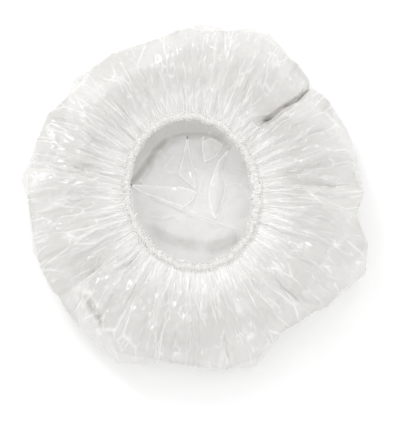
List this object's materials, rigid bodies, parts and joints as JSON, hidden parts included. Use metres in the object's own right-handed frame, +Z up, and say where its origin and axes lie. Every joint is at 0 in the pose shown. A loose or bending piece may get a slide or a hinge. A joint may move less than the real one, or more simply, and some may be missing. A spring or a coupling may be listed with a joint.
{
  "type": "disposable shower cap",
  "caption": "Round gathered cap of thin see-through film with an elastic hem, lying on its crown with its opening up; keeps hair dry.",
  "frame": {"origin": "on the surface that the cap lies on, under the middle of its outline", "axes": "+Z up out of the opening, +Y away from the viewer, +X to the viewer's right"},
  "size_m": [0.2722, 0.2818, 0.058],
  "materials": {
    "film": "thin milky see-through polyethylene film, crinkled and glossy",
    "elastic": "white overlocked elastic, matt"
  },
  "bodies": {
    "root": {"film": "film", "elastic_band": "elastic"}
  },
  "joints": []
}
